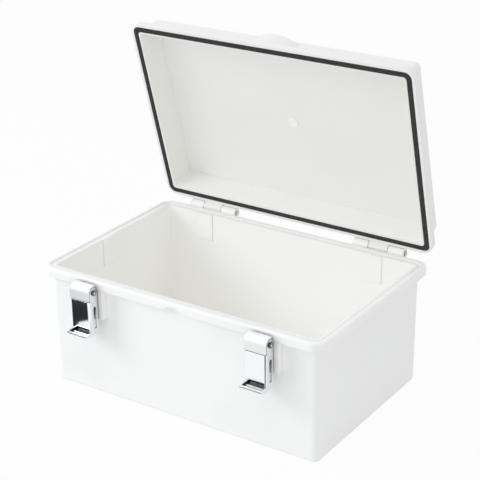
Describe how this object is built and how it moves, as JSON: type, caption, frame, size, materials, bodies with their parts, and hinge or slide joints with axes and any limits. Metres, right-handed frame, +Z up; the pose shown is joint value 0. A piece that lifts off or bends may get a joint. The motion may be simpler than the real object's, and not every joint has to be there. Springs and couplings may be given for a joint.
{
  "type": "hinged abs enclosure",
  "caption": "Rectangular moulded plastic enclosure with an overhanging rim, a domed hinged lid with a foam seal, and steel spring-hasp latches on the front.",
  "frame": {"origin": "middle of the flat underside of the base", "axes": "+Z up, latches on the front at -Y, hinges at the back at +Y, +X to the right seen from the front"},
  "size_m": [0.29, 0.2366, 0.3061],
  "materials": {
    "abs": "injection moulded, satin",
    "seal_foam": "closed-cell foam",
    "latch_steel": "polished stainless sheet",
    "hook_steel": "satin stainless sheet",
    "pin_steel": "bright drawn wire"
  },
  "bodies": {
    "base": {"base_tub": "abs", "hinge_pin_left": "pin_steel", "hinge_pin_right": "pin_steel", "latch_bracket_left": "latch_steel", "latch_bracket_right": "latch_steel", "latch_pivot_left": "latch_steel", "latch_pivot_right": "latch_steel", "latch_rivets_left": "latch_steel", "latch_rivets_right": "latch_steel"},
    "lid": {"lid_shell": "abs", "lid_seal": "seal_foam"},
    "lever_left": {"latch_lever_left": "latch_steel", "hook_pin_left": "latch_steel"},
    "lever_right": {"latch_lever_right": "latch_steel", "hook_pin_right": "latch_steel"},
    "hook_left": {"latch_hook_left": "hook_steel"},
    "hook_right": {"latch_hook_right": "hook_steel"}
  },
  "joints": [
    {"name": "lid_hinge", "type": "hinge", "parent": "base", "child": "lid", "pos_m": [0, 0.0999, 0.1136], "axis": [-1, 0, 0], "range_deg": [-74.2, 105.8]},
    {"name": "lever_left_pivot", "type": "hinge", "parent": "base", "child": "lever_left", "pos_m": [-0.0902, -0.1004, 0.105], "axis": [-1, 0, 0], "range_deg": [0, 90]},
    {"name": "lever_right_pivot", "type": "hinge", "parent": "base", "child": "lever_right", "pos_m": [0.0902, -0.1004, 0.105], "axis": [-1, 0, 0], "range_deg": [0, 90]},
    {"name": "hook_left_pivot", "type": "hinge", "parent": "lever_left", "child": "hook_left", "pos_m": [-0.0902, -0.1015, 0.0939], "axis": [-1, 0, 0], "range_deg": [-37.8, 0]},
    {"name": "hook_right_pivot", "type": "hinge", "parent": "lever_right", "child": "hook_right", "pos_m": [0.0902, -0.1015, 0.0939], "axis": [-1, 0, 0], "range_deg": [-37.8, 0]}
  ],
  "couplings": [
    {"joint": "hook_left_pivot", "follows": "lever_left_pivot", "ratio": -0.42},
    {"joint": "hook_right_pivot", "follows": "lever_right_pivot", "ratio": -0.42}
  ]
}
